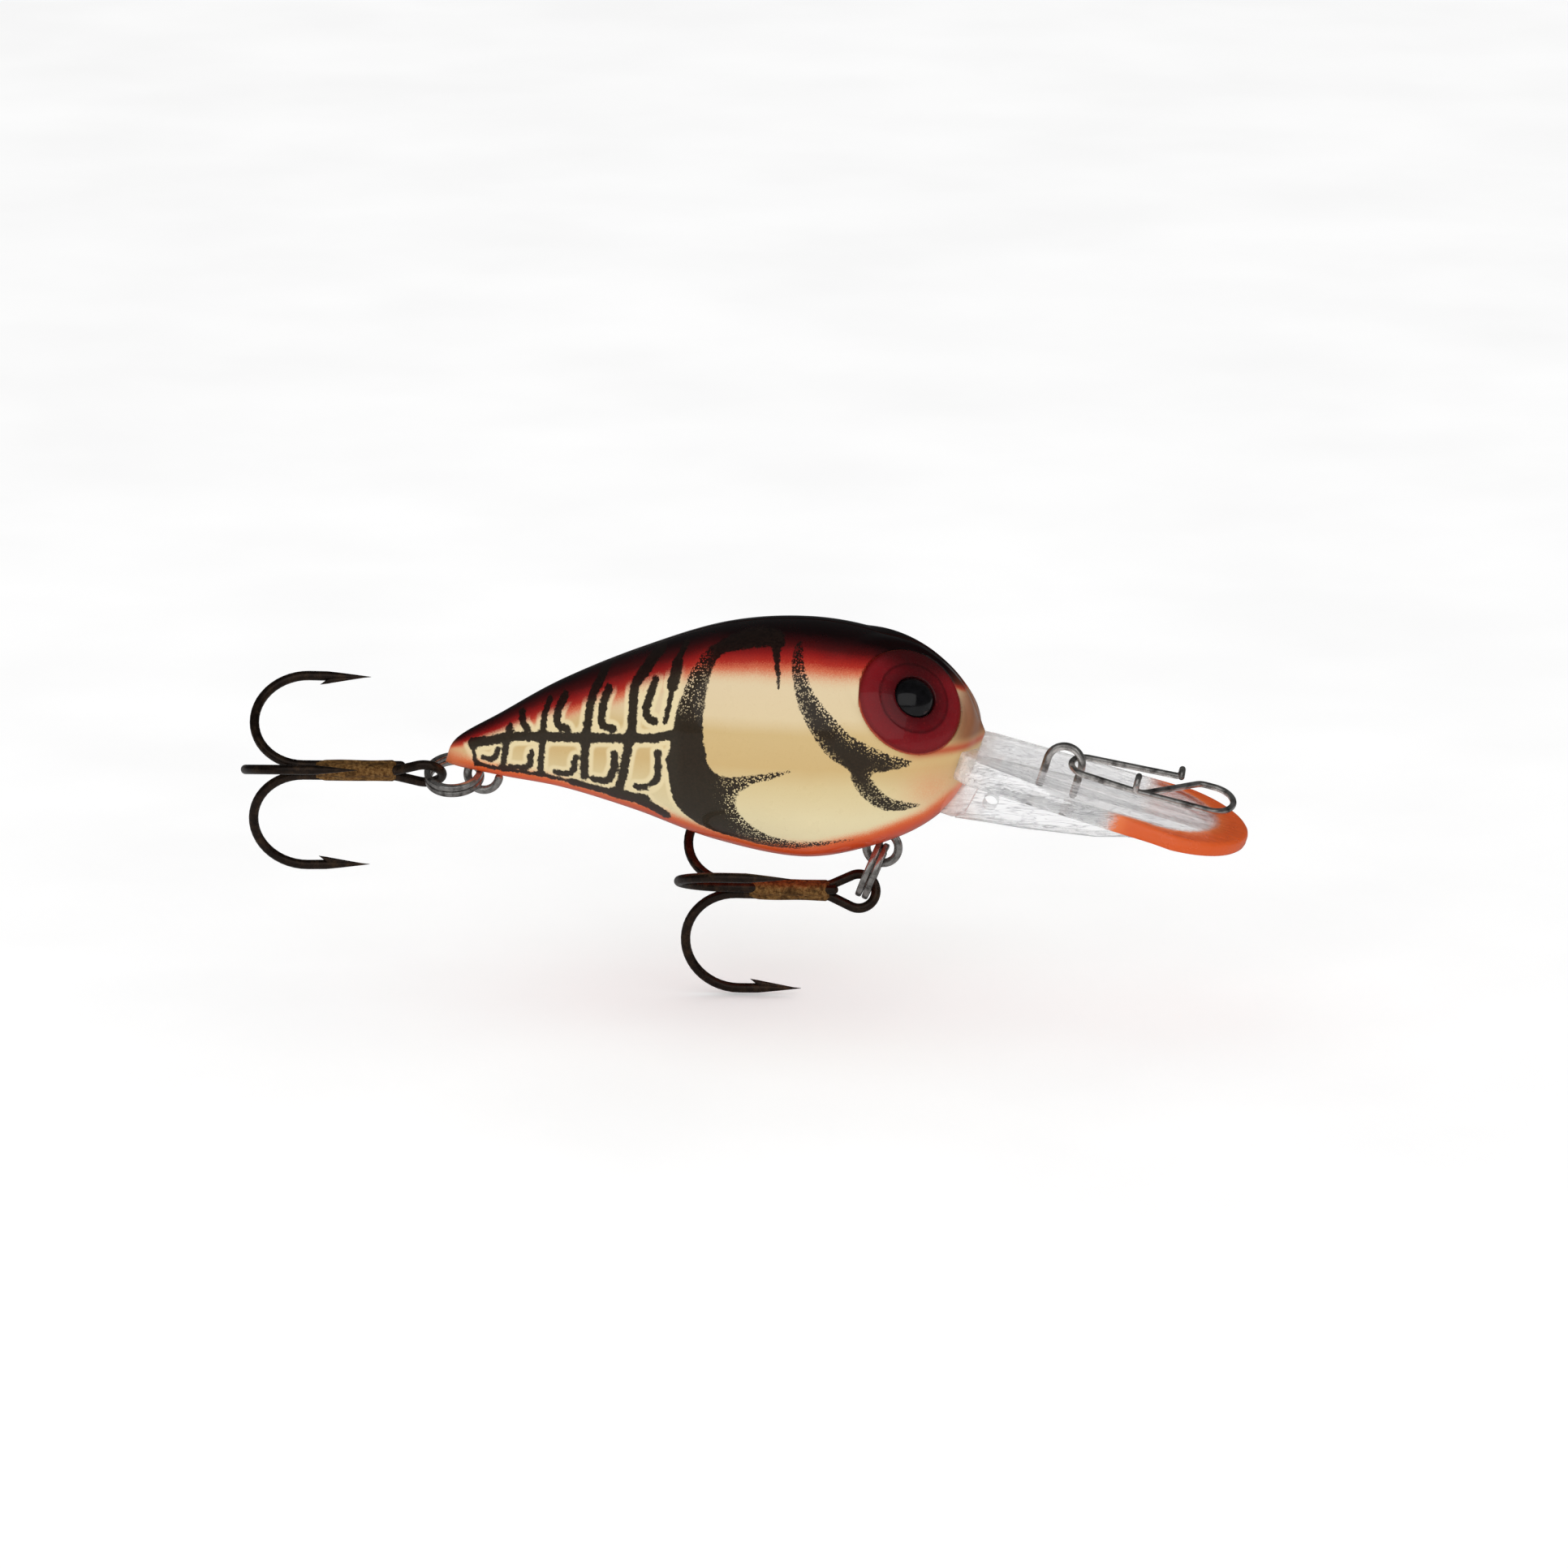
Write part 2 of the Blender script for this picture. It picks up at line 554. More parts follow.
def shell_half(name, node, mirror):
    u = np.linspace(FIRST_STATION, LAST_STATION, STATIONS)
    a = np.linspace(0, math.pi, STEPS)
    grid = skin(u, a)
    centre = (grid[:, :1] + grid[:, -1:]) / 2
    seam = np.clip(1 - grid[..., 1:2] / SEAM_REACH, 0, 1) * SEAM_DEPTH
    away = grid - centre
    size = np.linalg.norm(away, axis=-1, keepdims=True)
    grid = grid - away / np.maximum(size, 1e-6) * np.minimum(seam, size * 0.2)
    outer = grid.reshape(-1, 3) + np.array(TAIL)
    flat = eye_rim(outer)
    flat[:, 1] = np.where(outer[:, 1] < 1e-6, 0, np.maximum(flat[:, 1], 0))
    few = skin(u, np.linspace(0, math.pi, INNER_STEPS))
    away = few - centre
    size = np.linalg.norm(away, axis=-1, keepdims=True)
    inner = centre + away * np.maximum(LEAST_INNER, 1 - WALL / np.maximum(size, 1e-6))
    inner = inner.reshape(-1, 3) + np.array(TAIL)
    tips = [centre[0, 0], centre[-1, 0]]
    poles = np.array([tips[0], tips[1], tips[0] + POLE_GAP, tips[1] - POLE_GAP])
    poles += np.array(TAIL)
    verts = np.vstack([flat, inner, poles])
    n_out, n_in = len(flat), len(inner)
    faces = []
    for base, steps, out in ((0, STEPS, True), (n_out, INNER_STEPS, False)):
        i = np.arange(STATIONS - 1)[:, None] * steps + np.arange(steps - 1)[None, :] + base
        quads = np.stack([i, i + 1, i + steps + 1, i + steps], -1).reshape(-1, 4)
        faces += (quads if out else quads[:, ::-1]).tolist()
        for row, pole, first in ((0, 0, True), (STATIONS - 1, 1, False)):
            tip = n_out + n_in + pole + (0 if out else 2)
            edge = base + row * steps
            for k in range(steps - 1):
                tri = [edge + k + 1, edge + k, tip]
                faces.append(tri if first == out else tri[::-1])
    for col_out, col_in, first in ((0, 0, True), (STEPS - 1, INNER_STEPS - 1, False)):
        for i in range(STATIONS - 1):
            o, q = i * STEPS + col_out, n_out + i * INNER_STEPS + col_in
            quad = [o, o + STEPS, q + INNER_STEPS, q]
            faces.append(quad if first else quad[::-1])
        for row, pole in ((0, 0), (STATIONS - 1, 1)):
            o = row * STEPS + col_out
            q = n_out + row * INNER_STEPS + col_in
            quad = [o, q, n_out + n_in + pole + 2, n_out + n_in + pole]
            faces.append(quad if first == (row == 0) else quad[::-1])
    if mirror:
        verts = verts * [1, -1, 1]
        faces = [f[::-1] for f in faces]
    xz = verts[:, [0, 2]] - np.array(TAIL)[[0, 2]]
    s, h = xz[:, 0] / LENGTH, xz[:, 1] / HEIGHT
    red = np.interp(s, TENTHS, RED_EDGE)
    above = (h - red) / np.maximum(np.interp(s, *rail_at(BACK, fine).T) - red, 0.02)
    values = {
        "ink": ink_field(xz),
        "thin": thin_field(xz),
        "above": above + 0.25 * np.clip(above, 0, 1) * smooth((s - 0.38) / 0.2),
        "under": h - np.interp(s, TENTHS, ORANGE_EDGE),
        "along": s,
        "height": h,
        "throat": np.exp(-((s - 0.92) / 0.045) ** 2 - ((h - 0.02) / 0.10) ** 2),
        "nose": smooth((s - 0.925) / 0.05) * smooth((h - 0.17) / 0.06) * smooth((0.56 - h) / 0.2),
        "lips": np.exp(-((h - 0.185) / 0.018) ** 2) * smooth((s - 0.86) / 0.05),
        "seam": np.clip(1 - np.abs(verts[:, 1]) / 0.1, 0, 1),
    }
    shell = Shell()
    shell.verts, shell.faces = verts.tolist(), faces
    return piece(name, shell, "lure", node, painted, values)


def paint_material():
    k = Nodes("painted_crayfish")
    speck = k.noise(0.13, 1.0)
    ragged = k.noise(0.42, 3.0, 0.6)
    spray = k.noise(0.10, 2.0, 0.7)
    cloud = k.noise(6.0, 3.0)
    band = k.remap(k.stir(k.value("height"), cloud, 0.05), -0.45, 0.70, soft=False)
    base = k.ramp(band, [
        (0.0, "e6dab4"), (0.30, "e4d6ab"), (0.42, "dac695"), (0.50, "d0b27a"), (0.62, "d2b680"),
        (0.68, "dec9a0"), (0.85, "e0cba6"),
    ])
    base = k.mix(k.remap(speck, 0.62, 0.74, 0, 0.10), base, rgb("b98a4e"))
    above = k.stir(k.stir(k.value("above"), spray, 0.50), cloud, 0.30)
    back = k.ramp(k.remap(above, -1.0, 1.0, soft=False), [
        (0.0, "dcb78a"), (0.18, "dba880"), (0.34, "cf6a4a"), (0.45, "ac281b"), (0.60, "880f0d"),
        (0.75, "4c0607"), (0.90, "2a0305"), (1.0, "120102"),
    ])
    base = k.mix(k.remap(above, -1.0, -0.35), base, back)
    tail_half = k.remap(k.value("along"), 0.47, 0.45)
    halo = k.times(k.remap(k.value("ink"), 0.55, 0.25), tail_half)
    halo = k.times(halo, k.remap(above, 0.15, -0.45))
    base = k.mix(k.times(halo, 0.85), base, rgb("ead9ac"))
    under = k.stir(k.value("under"), spray, 0.05)
    orange = k.ramp(k.remap(under, -0.09, 0.03, soft=False), [
        (0.0, "bc3408"), (0.40, "d2480f"), (0.75, "e0682a"), (1.0, "eaa878"),
    ])
    base = k.mix(k.remap(under, 0.04, -0.02), base, orange)
    tail = k.remap(k.value("along"), 0.075, 0.01)
    tail = k.times(tail, k.remap(k.value("height"), 0.11, 0.03))
    base = k.mix(k.times(tail, 0.75), base, rgb("d77a50"))
    throat = k.times(k.value("throat"), k.remap(spray, 0.3, 0.6, 0.20, 0.55))
    base = k.mix(throat, base, rgb("dd7f55"))
    base = k.mix(k.times(k.value("nose"), 0.85), base, rgb("7c3b25"))
    base = k.mix(k.times(k.value("lips"), 0.8), base, rgb("b8301c"))
    ink = k.stir(k.stir(k.value("ink"), ragged, 0.55), spray, 0.25)
    cells, tint = k.cells(0.19)
    fleck = k.math("ADD", k.times(cells, 1.8), k.times(tint, 0.3))
    cover = k.remap(ink, -1.5, 0.0, 0.38, 1.05, soft=False)
    mask = k.remap(ink, 0.05, -0.07)
    loose = k.times(mask, k.remap(k.math("SUBTRACT", fleck, cover), -0.08, 0.08))
    mask = k.math("ADD", k.times(mask, k.math("SUBTRACT", 1.0, k.value("thin"))),
                  k.times(loose, k.value("thin")))
    tone = k.ramp(k.noise(0.22, 2.0), [(0.3, "0e0705"), (0.7, "21150f")])
    base = k.mix(k.times(mask, 0.97), base, tone)
    base = k.mix(k.times(k.value("seam"), 0.25), base, rgb("3a1a12"))
    bump = k.bump(mask, 0.012)
    bump = k.bump(k.noise(1.6, 2.0), 0.010, bump)
    rough = k.uneven(2.5, 4.0, 0.26, 0.38)
    return k.set(
        Base_Color=base, Roughness=rough, Normal=bump, IOR=1.3,
        Coat_Weight=0.55, Coat_Roughness=k.remap(k.noise(0.9, 4.0), 0.35, 0.75, 0.035, 0.10),
    )


painted = paint_material()
shell_half("shell_right", "body_right", True)
shell_half("shell_left", "body_left", False)


# ---- Eyes ----
def iris_profile():
    """Edge bevel, outer band, a fine step and the inner band of the domed iris."""
    def dome(r):
        return dome_centre + math.sqrt(IRIS_BALL ** 2 - r * r)
    points = [(0.02, IRIS_SEAT), (IRIS_R - 0.1, IRIS_SEAT), (IRIS_R, IRIS_SEAT + 0.1)]
    points += [(IRIS_R, dome(IRIS_R) - 0.14), (IRIS_R - 0.04, dome(IRIS_R - 0.04) - 0.05)]
    points += [(IRIS_R - 0.14, dome(IRIS_R - 0.14))]
    points += [(r, dome(r)) for r in np.linspace(IRIS_R - 0.3, 3.52, 14)]
    points += [(3.44, dome(3.44) - 0.01), (3.36, dome(3.36) - 0.04), (3.26, dome(3.26) - 0.05)]
    points += [(r, dome(r) - 0.05) for r in np.linspace(3.1, PUPIL_R + 0.2, 8)]
    points += [(PUPIL_R + 0.06, dome(2.0) - 0.12), (PUPIL_R + 0.03, dome(2.0) - 1.15)]
    points += [(0.02, dome(2.0) - 1.2)]
    return points


def eye_material():
    k = Nodes("iris_lacquer")
    ring = k.value("ring")
    flow = k.noise(1.4, 4.0, 0.6)
    base = k.ramp(k.stir(ring, flow, 0.03), [
        (0.36, "1c0306"), (0.42, "47070d"), (0.60, "5c0a12"), (0.655, "4a070d"), (0.69, "6c0e16"),
        (0.90, "781219"), (0.975, "6a0c10"), (0.988, "9c3a2a"), (1.0, "b85f44"),
    ])
    fleck = k.remap(k.noise(0.18, 2.0), 0.58, 0.75, 0, 0.22)
    base = k.mix(fleck, base, rgb("a02a24"))
    # The dark back is sprayed over the top of the iris
    spray = k.stir(k.value("brow"), k.noise(0.12, 2.0), 0.3)
    base = k.mix(k.remap(spray, 0.2, 0.95, 0, 0.85), base, rgb("1c0405"))
    return k.set(
        Base_Color=base, Roughness=k.uneven(0.8, 3.0, 0.20, 0.32), IOR=1.3,
        Normal=k.bump(k.noise(0.5, 3.0), 0.008), Coat_Weight=0.45, Coat_Roughness=0.04,
    )


def pupil_material():
    k = Nodes("pupil_gloss")
    base = k.ramp(k.noise(0.6, 3.0), [(0.3, "030304"), (0.7, "0d0c0f")])
    return k.set(
        Base_Color=base, Roughness=k.uneven(0.7, 3.0, 0.16, 0.26),
        Normal=k.bump(k.noise(0.6, 2.0), 0.006), Coat_Weight=0.4, Coat_Roughness=0.06,
    )


iris_look, pupil_look = eye_material(), pupil_material()
pupil_base = dome_centre + IRIS_BALL
pupil_centre = pupil_base + 0.45 - PUPIL_BALL
pupil_profile = [
    (0.02, pupil_base - 1.1), (PUPIL_R - 0.08, pupil_base - 1.1), (PUPIL_R, pupil_base - 1.0),
]
pupil_profile += [
    (PUPIL_BALL * math.sin(t), pupil_centre + PUPIL_BALL * math.cos(t))
    for t in np.linspace(math.asin(PUPIL_R / PUPIL_BALL), 0.01, 16)
]
for side, m in (("right", right_eye), ("left", left_eye)):
    disc = lathe(iris_profile(), m)
    if side == "right":
        disc.turn_over()
    local = [m.inverted() @ Vector(v) for v in disc.verts]
    ring = [math.hypot(p.x, p.y) / IRIS_R for p in local]
    middle = m @ Vector((0, 0, IRIS_RIM))
    lift = [(v[2] - middle.z + 0.35 * (v[0] - middle.x)) / IRIS_R for v in disc.verts]
    brow = [float(smooth((f - 0.22) / 0.6)) for f in lift]
    piece(f"iris_{side}", disc, "lure", f"eye_{side}", iris_look,
          {"ring": ring, "brow": brow})
    bead = lathe(pupil_profile, m, 64)
    if side == "right":
        bead.turn_over()
    piece(f"pupil_bead_{side}", bead, "lure", f"pupil_{side}", pupil_look)


# ---- Clear lip ----
LIP_LEN, LIP_HALF, LIP_ROUND, LIP_BURY, LIP_ROOT_HALF = 26.8, 9.4, 7.6, 2.2, 5.6
LIP_ANGLE, ROOT_T, TIP_T = 17, 2.8, 1.3
TUCK, TUCK_FROM, TUCK_LEN = 0.35, 1.4, 3.6
PAINT_FROM, PAINT_SLANT, PAINT_FADE, UNBENT = 13.0, 1.3, 6, 0.4
KEEL_HALF, BLOCK_HALF, HOLE_R, HOLE_X, HOLE_DROP = 1.2, 2.3, 0.7, 3.2, 1.9
TIE_X, TIE_R, TIE_LEG, TIE_RISE = 8.6, 1.63, 1.7, 0.85
SNAP_PIVOT_X, SNAP_PIVOT_Z = TIE_X + 0.62, TIE_RISE + 0.3
lip_turn = turn(0, LIP_ANGLE, 0)
lip_root = joint_at["snap_lift"] - lip_turn @ Vector((SNAP_PIVOT_X, 0, SNAP_PIVOT_Z))
lip = at(lip_root) @ lip_turn


def lip_thickness(x):
    return float(np.interp(x, [-LIP_BURY, LIP_LEN * 0.7, LIP_LEN], [ROOT_T, TIP_T + 0.15, TIP_T]))


def lip_outline():
    front = LIP_LEN - LIP_ROUND
    bow = [
        (front + LIP_ROUND * math.cos(t), LIP_HALF * math.sin(t))
        for t in np.linspace(-1.4, 1.4, 90)
    ]
    long, wide = bow[0][0] + LIP_BURY, bow[0][1] + LIP_ROOT_HALF
    sides = [(-LIP_BURY + long * f, -LIP_ROOT_HALF + wide * f)
             for f in np.linspace(0, 1, 26)[:-1]]
    root = [(-LIP_BURY, y) for y in np.linspace(LIP_ROOT_HALF, -LIP_ROOT_HALF, 10)[1:-1]]
    loop = sides + bow + [(x, -y) for x, y in sides[::-1]] + root
    # Narrower where it's let into the nose
    return [(x, y * (1 - TUCK * float(smooth((TUCK_FROM - x) / TUCK_LEN)))) for x, y in loop]


def lip_plate():
    """Flat plate with a softly rounded rim, as rings from the middle line out and back."""
    half_rim = [(0.42, 0.0), (0.20, 0.04), (0.07, 0.13), (0.0, 0.30)]
    rim = half_rim + [(k, 1 - depth) for k, depth in half_rim[::-1]]
    reach = [0.0, 0.2, 0.4, 0.55, 0.66, 0.75, 0.82, 0.88, 0.93]
    outline = lip_outline()
    rings = []
    for k, depth in [(k, 0.0) for k in reach] + rim + [(k, 1.0) for k in reach[::-1]]:
        ring = []
        for x, y in outline:
            mx = min(max(x, -LIP_BURY + 1.5), LIP_LEN - LIP_ROUND + 1.5)
            size = math.hypot(x - mx, y)
            f = k if (k, depth) not in rim else 1 - k / size
            px, py = mx + (x - mx) * f, y * f
            ring.append((px, py, -depth * lip_thickness(px)))
        rings.append(ring)
    return Shell(rings)


def lip_rib(profile, half, soft):
    """A rib under the plate: the side profile with its bottom edges rounded by soft."""
    rings = []
    nick = soft * 0.3
    for x, top, low in profile:
        side = [(half, top), (half, low + soft), (half - nick, low + nick), (half - soft, low)]
        rings.append([(x, -y, z) for y, z in side] + [(x, y, z) for y, z in side[::-1]])
    return Shell(rings)


def solid(shell, name):
    """A closed object with outward faces, ready for a boolean."""
    mesh = bpy.data.meshes.new(name)
    mesh.from_pydata(shell.verts, [], shell.faces)
    ob = show(name, mesh)
    bpy.context.view_layer.objects.active = ob
    for other in scene.objects:
        other.select_set(other is ob)
    bpy.ops.object.mode_set(mode="EDIT")
    bpy.ops.mesh.select_all(action="SELECT")
    bpy.ops.mesh.remove_doubles(threshold=0.002)
    bpy.ops.mesh.normals_make_consistent(inside=False)
    bpy.ops.object.mode_set(mode="OBJECT")
    return ob


def join_solids(parts, cuts):
    """Union of the parts less the cuts, as one mesh in millimetres."""
    whole = parts[0]
    for other, op in [(p, "UNION") for p in parts[1:]] + [(c, "DIFFERENCE") for c in cuts]:
        mod = whole.modifiers.new("join", "BOOLEAN")
        mod.operation, mod.object, mod.solver = op, other, "MANIFOLD"
    dg = bpy.context.evaluated_depsgraph_get()
    mesh = bpy.data.meshes.new_from_object(whole.evaluated_get(dg))
    for ob in parts + cuts:
        bpy.data.objects.remove(ob)
    return mesh


def lip_material():
    k = Nodes("clear_lip_plastic")
    paint = k.stir(k.value("orange"), k.noise(0.5, 3.0), 0.22)
    paint = k.stir(paint, k.noise(0.11, 2.0), 0.35)
    cover = k.remap(paint, 0.12, 0.62)
    haze = k.times(k.value("haze"), k.uneven(0.9, 4.0, 0.45, 0.9))
    tone = k.ramp(k.math("ADD", k.value("orange"), k.times(k.noise(1.2, 2.0), 0.25)),
                  [(0.1, "f2b490"), (0.55, "ea7a3c"), (1.0, "dc5a20")])
    flow = k.noise(1.1, 3.0, 0.6, (0.22, 1.6, 1.0))
    clear = k.ramp(k.noise(0.9, 2.0, 0.5, (0.14, 1.2, 1.2)), [
        (0.30, "fbfafa"), (0.43, "ffffff"), (0.46, "6f6a73"), (0.49, "ffffff"),
        (0.57, "fbfafa"), (0.59, "8d8890"), (0.61, "ffffff"),
    ])
    bump = k.bump(flow, 0.09)
    bump = k.bump(k.noise(0.35, 3.0), 0.006, bump)
    rough = k.remap(k.noise(1.5, 4.0), 0.35, 0.7, 0.015, 0.06)
    rough = k.math("ADD", rough, k.times(cover, 0.22))
    through = k.math("SUBTRACT", 1.0, k.math("MAXIMUM", k.times(cover, 0.93), haze))
    base = k.mix(haze, k.mix(cover, clear, tone), rgb("f3dccf"))
    k.set(Base_Color=base, Roughness=rough, Normal=bump, IOR=1.46, Transmission_Weight=through)
    # The lamp shines through the clear plastic, and part of the view passes it unbent
    open_way = k.new("ShaderNodeBsdfTransparent")
    blend = k.new("ShaderNodeMixShader")
    shadow = k.new("ShaderNodeLightPath").outputs["Is Shadow Ray"]
    k.put(blend.inputs[0], k.times(k.math("MAXIMUM", shadow, UNBENT), through))
    k.put(blend.inputs[1], k.bsdf.outputs[0])
    k.put(blend.inputs[2], open_way.outputs[0])
    k.put(k.tree.nodes["Material Output"].inputs["Surface"], blend.outputs[0])
    return k.material


def lip_orange(p):
    """Airbrushed border: from the rim inwards, fading out towards the body."""
    front = LIP_LEN - LIP_ROUND
    if p.x > front:
        edge = 1 - math.hypot((p.x - front) / LIP_ROUND, p.y / LIP_HALF)
        edge *= (LIP_ROUND + LIP_HALF) / 2
    else:
        wide = np.interp(p.x, [-LIP_BURY, front], [LIP_ROOT_HALF, LIP_HALF])
        edge = wide - abs(p.y)
    border = 1.6 + 1.3 * float(smooth((p.x - 12) / 9)) + 2.4 * float(smooth((p.x - 19) / 6))
    # It starts further out on the left side
    start = PAINT_FROM + PAINT_SLANT * p.y / LIP_HALF
    return float(smooth(1.15 - edge / border) * smooth((p.x - start) / PAINT_FADE))


def build_lip():
    low = ROOT_T + 3.9
    keel_line = [(0.5, low + 0.5), (LIP_LEN * 0.12, low), (LIP_LEN * 0.25, low - 0.55),
                 (LIP_LEN * 0.38, ROOT_T + 2.6), (LIP_LEN * 0.5, ROOT_T + 1.9),
                 (LIP_LEN * 0.6, TIP_T + 2.5), (LIP_LEN * 0.7, TIP_T + 1.9),
                 (LIP_LEN * 0.78, TIP_T + 1.3), (LIP_LEN * 0.86, TIP_T + 0.6),
                 (LIP_LEN * 0.9, TIP_T + 0.1)]
    keel = lip_rib([(x, -0.5, -z) for x, z in keel_line], KEEL_HALF, 0.45)
    # The block runs back under the chin, where its top is cut away for the shell
    block_line = [(-1.2, 0.7 - low, -0.2), (-0.4, 1.7 - low, -0.2), (0.2, -0.6, -0.2),
                  (0.6, -0.6, -0.05), (1.3, -0.6, 0.4), (1.7, -0.6, 2.4), (1.9, -0.6, low - 1.2)]
    block = lip_rib([(x, top, z - low) for x, top, z in block_line], BLOCK_HALF, 0.5)
    hole = lathe([(HOLE_R, -4.0), (HOLE_R, 4.0)],
                 at(HOLE_X, 0, -ROOT_T - HOLE_DROP) @ turn(90, 0, 0), 28)
    parts = [solid(s, "lip_part") for s in (lip_plate(), keel, block)]
    mesh = join_solids(parts, [solid(hole, "lip_cut")])
    shell = Shell()
    shell.verts = [tuple(v.co) for v in mesh.vertices]
    shell.faces = [tuple(p.vertices) for p in mesh.polygons]
    orange = [lip_orange(Vector(v)) for v in shell.verts]
    haze = [float(smooth((3.2 - v[0]) / 4.5)) for v in shell.verts]
    shell.verts = [tuple(lip @ Vector(v)) for v in shell.verts]
    ob = piece("lip_clear", shell, "lure", "diving_lip", lip_material(),
               {"orange": orange, "haze": haze})
    ob.data.set_sharp_from_angle(angle=math.radians(32))
    return ob


build_lip()


# ---- Bent-wire hardware ----
def wire_material(name, light, dark, rough, marks):
    """Drawn wire: fine lengthwise scratches, faint stains and worn spots."""
    k = Nodes(name)
    stain = k.noise(1.3, 4.0, 0.65)
    base = k.ramp(stain, [(0.32, dark), (0.55, light), (0.75, light)])
    base = k.mix(k.remap(k.noise(0.12, 2.0), 0.6, 0.72, 0, marks), base, rgb(dark))
    scratch = k.noise(0.09, 3.0, 0.7, (0.35, 1.0, 1.0))
    return k.set(
        Base_Color=base, Metallic=0.92, Normal=k.bump(scratch, 0.012),
        Roughness=k.uneven(0.6, 4.0, rough * 0.7, rough * 1.5),
    )


nickel = wire_material("nickel_wire", "d0cdc9", "5f5b58", 0.15, 0.35)
TIE_WIRE, SNAP_WIRE, EYE_WIRE, HOOK_WIRE = 0.75, 0.6, 0.8, 0.9
WIRE_SIDES, SNAP_SIDES = 24, 22

tie = Shell()
start = lip @ at(TIE_X - TIE_R, 0, -TIE_LEG) @ turn(0, -90, 0)
points, _ = run([(TIE_LEG + TIE_RISE, 180, TIE_R, 180), (TIE_LEG + TIE_RISE, 0, 0, 0)], start)
sweep(tie, points, TIE_WIRE / 2, WIRE_SIDES)
piece("line_tie_wire", tie, "lure", "line_tie", nickel)

SNAP_TILT, SNAP_ROLL, SNAP_LEN, SNAP_LOOP, SNAP_FLARE, SNAP_REACH = 13, 16, 15.4, 1.6, 6, 3
SNAP_ARM, SNAP_SLANT, SNAP_SLANT_R, SNAP_FRONT = 5.2, 42, 1.2, 2.15
SNAP_OVERLAP, SNAP_LIFT, SNAP_HOOK, SNAP_HOOK_TURN = 0.2, 0.4, 0.72, 150


def build_snap():
    arm_x = SNAP_LOOP * (1 - cos(90 - SNAP_FLARE)) + SNAP_ARM * cos(SNAP_FLARE)
    arm_y = SNAP_LOOP * sin(90 - SNAP_FLARE) + SNAP_ARM * sin(SNAP_FLARE)
    turn_x = SNAP_SLANT_R * (sin(SNAP_FLARE) + 2 * sin(SNAP_SLANT))
    turn_y = SNAP_SLANT_R * (2 - cos(SNAP_FLARE) + (1 - 2 * cos(SNAP_SLANT)))
    slant = (arm_y + SNAP_FRONT - turn_y + SNAP_SLANT_R * (1 - cos(SNAP_FLARE))) / sin(SNAP_SLANT)
    front = SNAP_LEN - SNAP_FRONT - arm_x - turn_x - slant * cos(SNAP_SLANT)
    m = at(joint_at["snap_lift"]) @ turn(SNAP_ROLL, SNAP_TILT, 0) @ flip
    long_arm, _ = run([
        (0, 90, SNAP_LOOP, 90 - SNAP_FLARE),
        (SNAP_ARM, 0, SNAP_SLANT_R, SNAP_FLARE + SNAP_SLANT),
        (slant, 180, SNAP_SLANT_R, SNAP_SLANT),
        (front, 0, SNAP_FRONT, 180),
        (SNAP_LEN - SNAP_FRONT - arm_x - SNAP_OVERLAP, 90, SNAP_LIFT, 90),
        (0, -90, SNAP_HOOK, SNAP_HOOK_TURN),
    ], m @ turn(0, 0, 90))
    short_arm, _ = run([
        (0, -90, SNAP_LOOP, 90 - SNAP_FLARE), (SNAP_ARM + SNAP_REACH, 90, SNAP_LIFT, 90),
        (0, -90, SNAP_HOOK, SNAP_HOOK_TURN),
    ], m @ turn(0, 0, -90))
    shell = Shell()
    sweep(shell, short_arm[::-1] + long_arm[1:], SNAP_WIRE / 2, SNAP_SIDES)
    piece("snap_wire", shell, "line_snap", "snap", nickel)


build_snap()

LOOP_R, NECK_R, LOOP_SWEEP, SHANK, TAIL_EYE_LEAN = 1.5, 0.8, 300, 5.4, 62
THREAD_TURNS, THREAD_STEPS, THREAD_PITCH, THREAD_TOP, THREAD_R = 6, 20, 0.6, 0.4, 0.12
neck_angle = math.degrees(math.acos(NECK_R / (LOOP_R + NECK_R)))
neck_len = (LOOP_R + NECK_R) * sin(neck_angle)
belly_eye, tail_eye = joint_at["belly_ring_swing"], joint_at["tail_ring_swing"]


def screw_eye(name, node, m):
    start = m @ at(0, 0, neck_len + SHANK) @ turn(0, 90, 0)
    points, _ = run([(SHANK, 180, NECK_R, neck_angle), (0, 180, LOOP_R, LOOP_SWEEP)], start)
    shell = Shell()
    sweep(shell, points, EYE_WIRE / 2, WIRE_SIDES)
    thread = []
    r, top = EYE_WIRE / 2, neck_len + SHANK - THREAD_TOP
    for i in range(THREAD_TURNS * THREAD_STEPS):
        t = 2 * math.pi * i / THREAD_STEPS
        z = top - THREAD_PITCH * i / THREAD_STEPS
        thread.append(m @ Vector((r * math.cos(t), r * math.sin(t), z)))
    sweep(shell, thread, THREAD_R, 8)
    piece(name, shell, "lure", node, nickel)


screw_eye("belly_eye_wire", "belly_screw_eye", at(belly_eye))
screw_eye("tail_eye_wire", "tail_screw_eye", at(tail_eye) @ turn(0, TAIL_EYE_LEAN, 0))

RING_R, RING_W, RING_COIL, RING_SLIT, RING_SQUARE = 2.475, 0.65, 0.6, 0.06, 0.6
# Degrees along the wire: between its ends, for the climb from coil to coil and per mesh step
RING_GAP, RING_CLIMB, RING_STEP = 4, 34, 5
BELLY_RING_LEAN, TAIL_RING_ROLL = 22, 24


